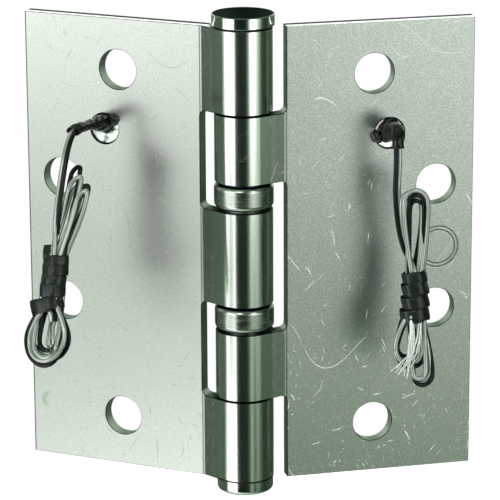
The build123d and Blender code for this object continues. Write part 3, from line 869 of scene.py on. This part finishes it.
def plainMaterial(name):
    # one noise varies the roughness and gives a fine relief
    colour, metallic, (low, high), sizes, strength, depth, more = plainFinishes[name]
    material, add = newMaterial(name)
    place = add("TexCoord")
    sized = add("Mapping", {
        "Vector": place.outputs["Object"], "Scale": [1 / (size * mm) for size in sizes]}, 0)
    grain = add("TexNoise", {
        "Vector": sized, "Scale": 1.0, "Detail": 4.0, "Roughness": 0.55}, "Fac")
    # faces that look up or down are painted dark, as shade
    if "ends" in more:
        ends = add("MapRange", {
            0: uprightShare(add, place.outputs["Normal"]), 1: 0.5, 2: 0.8}, 0, **smooth)
        colour = add("Mix", {0: ends, 6: colour, 7: more["ends"]}, 2, **asColour)
    rough = add("MapRange", {0: grain, 1: 0.3, 2: 0.7, 3: low, 4: high}, 0, **smooth)
    bump = add("Bump", {"Height": grain, "Strength": strength, "Distance": depth * mm}, 0)
    shader = add("BsdfPrincipled", {
        "Base Color": colour, "Metallic": metallic, "Roughness": rough, "Normal": bump,
        "Specular IOR Level": more.get("specular", 0.5), "Coat Weight": more.get("coat", 0.0),
        "Coat IOR": more.get("coatIor", 1.5)}, 0)
    add("OutputMaterial", {"Surface": shader})
    return material


resin = {"swirl": 2.2, "bubble": 0.9, "relief": 0.15,
         "tones": [(0.38, "2A352B"), (0.5, "B9C4B8"), (0.6, "F4F7F3")]}


def resinMaterial():
    # clear epoxy over bright metal: pale, glossy, with a slow swirl and a few fine bubbles
    material, add = newMaterial("clearResin")
    place = add("TexCoord", output="Object")
    swirl = add("TexNoise", {
        "Vector": place, "Scale": 1 / (resin["swirl"] * mm), "Detail": 3.0}, "Fac")
    tone = add("ValToRGB", {"Fac": swirl})
    rampStops(tone, resin["tones"])
    bubbles = add("TexVoronoi", {"Vector": place, "Scale": 1 / (resin["bubble"] * mm)}, "Distance")
    relief = add("MapRange", {0: bubbles, 1: 0.25, 2: 0.1}, 0)
    bump = add("Bump", {"Height": relief, "Strength": 0.5, "Distance": resin["relief"] * mm}, 0)
    shader = add("BsdfPrincipled", {
        "Base Color": tone.outputs["Color"], "Metallic": 0.6, "Roughness": 0.12,
        "Coat Weight": 1.0, "Coat Roughness": 0.05, "Normal": bump}, 0)
    add("OutputMaterial", {"Surface": shader})
    return material


finishes = {name: plainMaterial(name) for name in plainFinishes}
for name in leafFinishes:
    finishes[name] = steelMaterial(name)
finishes["clearResin"] = resinMaterial()


def paint(piece, finish):
    piece.data.materials.clear()
    piece.data.materials.append(finishes[finish])


paint(nodes["frame_leaf"], "frameLeafSteel")
paint(nodes["door_leaf"], "doorLeafSteel")
for name in ("head_pin", "main_pin", "bottom_tip"):
    paint(nodes[name], "buffedSteel")
for bearing in ("upper_bearing", "lower_bearing"):
    paint(nodes[bearing + "_shell"], "satinSteel")
    paint(nodes[bearing + "_top_race"], "groundSteel")
    paint(nodes[bearing + "_bottom_race"], "groundSteel")
    paint(nodes[bearing + "_balls"], "polishedBall")
for side in ("frame", "door"):
    paint(nodes[side + "_potting"], "clearResin")
    paint(nodes[side + "_inner_lead"], "leadSheath")
    paint(softPieces[side]["sleeve"], "shrinkTube")
    paint(softPieces[side]["sealant"], "blackSealant")
    paint(softPieces[side]["tie"], "vinylTape")
    paint(softPieces[side]["ends"], "tinnedStrand" if side == "door" else "dullStrand")
    paint(wires[side + "WireA"], "paleWireCover")
    paint(wires[side + "WireB"], "darkWireCover")
print("materials:", len(finishes))


# Studio: a white world, soft lamps, a pale floor, and a ring of cards that only gloss sees
studio = {
    "lamps": [  # name, place in mm, size in mm, watts
        ("key", (160, -980, 330), 380, 22.0),
        ("fill", (760, -620, 300), 420, 1.2),
        ("top", (0, 100, 800), 500, 4.0),
        ("back", (-100, 980, 330), 380, 14.0),
    ],
    "worldForDiffuse": 0.14, "floorGlow": 0.45,
    "floorDrop": 160.0, "floorRadius": 340.0, "floorFade": 110.0, "floorAround": 96,
    "ringRadius": 1000.0, "ringHalfHeight": 700.0, "ringAround": 240, "ringLevels": 57,
    # small bright cards above the ring, for glints on the sealant and the wires' bends:
    # azimuth from the camera, height, spread in mm, tone
    "sparks": [(-20, 420, 140, 9.0), (38, 500, 120, 6.0)],
    # the cards' tint by half their tone: dim ones are green, as the steel's shaded parts are
    "tints": [(0.0, "C6FFCA"), (0.18, "DEFFDE"), (0.5, "F1FFF0"), (0.95, "FFFFFF")],
}
# The ring's tone. Each row is an azimuth, in degrees from the camera towards the object's right,
# and the tones there at the heights in ringHeights, which are in mm.
ringHeights = (-700, -550, -450, -396, -359, -311, -268, -227, -188, -147, -60, 60, 250, 700)
ringTones = [
    (-180, .04, .05, .08, .08, .08, .08, .08, .08, .08, .08, .08, .03, .01, .01),
    (-163, .06, .08, .12, .12, .12, .12, .12, .12, .12, .12, .20, .80, 1.0, 0.8),
    (-145, .08, .12, .16, .16, .16, .16, .16, .16, .16, .20, .50, 1.5, 1.6, 1.0),
    (-115, .06, .08, .12, .12, .12, .12, .12, .12, .12, .12, .20, .60, 0.8, 0.5),
    (-80, .06, .08, .11, .11, .11, .11, .11, .11, .11, .11, .10, .06, .04, .02),
    (-73, 1.2, 2.2, 2.6, 2.2, 1.8, 1.5, 1.5, 1.8, 2.0, 2.4, 3.0, 2.8, 1.2, 0.3),
    (-56, 1.2, 3.0, 3.3, 1.8, .66, .36, .45, .80, 1.45, 2.45, 3.6, 3.2, 1.3, 0.3),
    (-46, 1.4, 3.8, 4.0, 2.5, .95, .42, .45, .85, 1.4, 2.25, 3.1, 3.0, 1.3, 0.3),
    (-38, 1.4, 3.8, 4.0, 3.0, 2.1, 1.5, 1.4, 1.65, 1.9, 2.25, 3.1, 3.0, 1.3, 0.3),
    (-31, .02, .02, .03, .03, .03, .03, .03, .03, .03, .03, .03, .03, .02, .01),
    (-10, .01, .01, .015, .015, .015, .015, .015, .015, .015, .015, .015, .015, .01, .01),
    (10, .01, .015, .02, .02, .02, .02, .02, .02, .02, .02, .02, .02, .01, .01),
    (18, .05, .05, .08, .08, .08, .09, .11, .13, .15, .17, .20, .15, .06, .02),
    (24, .16, .21, .26, .30, .32, .36, .43, .55, .73, .95, 1.15, 1.05, .30, .05),
    (29, .18, .27, .36, .40, .43, .49, .66, 1.0, 1.5, 2.2, 2.7, 2.4, .50, .10),
    (40, .03, .04, .05, .06, .08, .13, .45, 1.0, 1.7, 2.7, 3.4, 3.0, .60, .10),
    (53, .12, .20, .26, .30, .36, .46, .60, 0.8, 0.9, 1.0, 1.2, 1.1, .50, .10),
    (64, .08, .10, .12, .14, .16, .20, .26, .32, .40, .50, .60, .50, .20, .05),
    (72, .05, .06, .07, .07, .07, .08, .09, .10, .11, .12, .12, .10, .06, .02),
    (84, .03, .04, .04, .04, .04, .04, .04, .04, .04, .04, .04, .04, .03, .02),
    (104, .04, .05, .06, .06, .06, .06, .06, .06, .06, .06, .06, .05, .03, .02),
    (125, .05, .07, .09, .09, .09, .09, .09, .09, .09, .10, .20, .80, 1.0, 0.6),
    (145, .06, .08, .10, .10, .10, .10, .10, .10, .10, .14, .40, 1.5, 1.6, 1.0),
    (163, .05, .07, .09, .09, .09, .09, .09, .09, .09, .10, .20, .80, 1.0, 0.8),
]


def addRing():
    # a drum round the object: its wall's points carry their tone, and its ends are dark
    around, levels = studio["ringAround"], studio["ringLevels"]
    turn = np.linspace(-180, 180, around, endpoint=False)
    half = studio["ringHalfHeight"]
    height = np.linspace(-half, half, levels)
    absolute = np.radians(turn + cameraView["azimuth"])
    radius = studio["ringRadius"] * mm
    grid = np.stack(np.broadcast_arrays(
        radius * np.sin(absolute)[None], -radius * np.cos(absolute)[None],
        height[:, None] * mm), -1)
    table = np.array(ringTones)
    rows = np.array([np.interp(turn, table[:, 0], table[:, column + 1], period=360)
                     for column in range(len(ringHeights))])
    tone = np.array([np.interp(height, ringHeights, rows[:, index]) for index in range(around)]).T
    for azimuthOf, heightOf, spread, strength in studio["sparks"]:
        sideways = (turn - azimuthOf)[None] * math.radians(studio["ringRadius"])
        apart = np.hypot(sideways, (height - heightOf)[:, None])
        tone += strength * np.exp(-(apart / spread) ** 2)
    inward = gridFaces(levels, around)[:, [0, 3, 2, 1]]
    ends = [list(range(around)), list(range((levels - 1) * around, levels * around))]
    mesh = bpy.data.meshes.new("cardRing")
    mesh.from_pydata(grid.reshape(-1, 3).tolist(), [], inward.tolist() + ends)
    mesh.attributes.new("tone", "FLOAT", "POINT").data.foreach_set("value", tone.ravel())
    material, add = newMaterial("cardTone")
    carried = add("Attribute", output="Fac", attribute_name="tone")
    half = add("Math", {0: carried, 1: 0.5}, 0, **times)
    tint = add("ValToRGB", {"Fac": half})
    rampStops(tint, studio["tints"])
    shader = add("Emission", {"Color": tint.outputs["Color"], "Strength": carried}, 0)
    add("OutputMaterial", {"Surface": shader})
    mesh.materials.append(material)
    ringObject = addObject("cardRing", mesh)
    ringObject.visible_camera = ringObject.visible_diffuse = ringObject.visible_shadow = False
    ringObject.visible_transmission = ringObject.visible_volume_scatter = False


def addFloor():
    # a pale disc that fades out at its rim, so that its edge never shows
    mesh = bpy.data.meshes.new("floor")
    reach = studio["floorRadius"] * mm
    around = studio["floorAround"]
    turns = circle(around)
    rim = np.stack([reach * np.cos(turns), reach * np.sin(turns),
                    np.full(around, -studio["floorDrop"] * mm)], -1)
    mesh.from_pydata(rim.tolist(), [], [list(range(around))])
    material, add = newMaterial("paleFloor")
    place = add("TexCoord", output="Object")
    level = add("VectorMath", {0: place, 1: (1, 1, 0)}, 0, **times)
    radius = add("VectorMath", {0: level}, "Value", operation="LENGTH")
    fade = add("MapRange", {
        0: radius, 1: reach - studio["floorFade"] * mm, 2: reach * 0.99}, 0, **smooth)
    paper = add("BsdfDiffuse", {"Color": "F4F5F3"}, 0)
    clear = add("BsdfTransparent", output=0)
    seen = add("LightPath", output="Is Camera Ray")
    glow = add("Emission", {
        "Strength": add("Math", {0: seen, 1: studio["floorGlow"]}, 0, **times)}, 0)
    lit = add("AddShader", {0: paper, 1: glow}, 0)
    shader = add("MixShader", {0: fade, 1: lit, 2: clear}, 0)
    add("OutputMaterial", {"Surface": shader})
    mesh.materials.append(material)
    floor = addObject("floor", mesh)
    floor.visible_glossy = False


def addWorld():
    # white to the camera and in reflections, dimmer as light
    world = bpy.data.worlds.new("studio")
    bpy.context.scene.world = world
    world.use_nodes = True
    world.node_tree.nodes.clear()
    add = partial(addNode, world.node_tree)
    rays = add("LightPath").outputs
    seen = largest(add, [rays[kind] for kind in (
        "Is Camera Ray", "Is Glossy Ray", "Is Transmission Ray")])
    strength = add("MapRange", {0: seen, 3: studio["worldForDiffuse"], 4: 1.0}, 0)
    sky = add("Background", {"Color": "FFFFFF", "Strength": strength}, 0)
    add("OutputWorld", {"Surface": sky})


def addLamps():
    for name, place, size, watts in studio["lamps"]:
        data = bpy.data.lights.new(name, "AREA")
        data.shape = "DISK"
        data.size = size * mm
        data.energy = watts
        lamp = addObject(name, data)
        away = np.array(place, float)
        away /= np.linalg.norm(away)
        sideways = np.cross([0.0, 0.0, 1.0], away)
        sideways /= np.linalg.norm(sideways)
        aim = Matrix(np.column_stack([sideways, np.cross(away, sideways), away]).tolist()).to_4x4()
        lamp.matrix_world = Matrix.Translation((np.array(place) * mm).tolist()) @ aim
        lamp.visible_glossy = False


addWorld()
addRing()
addFloor()
addLamps()
bpy.context.scene.view_settings.view_transform = "Standard"
print("studio set")

bpy.context.view_layer.update()
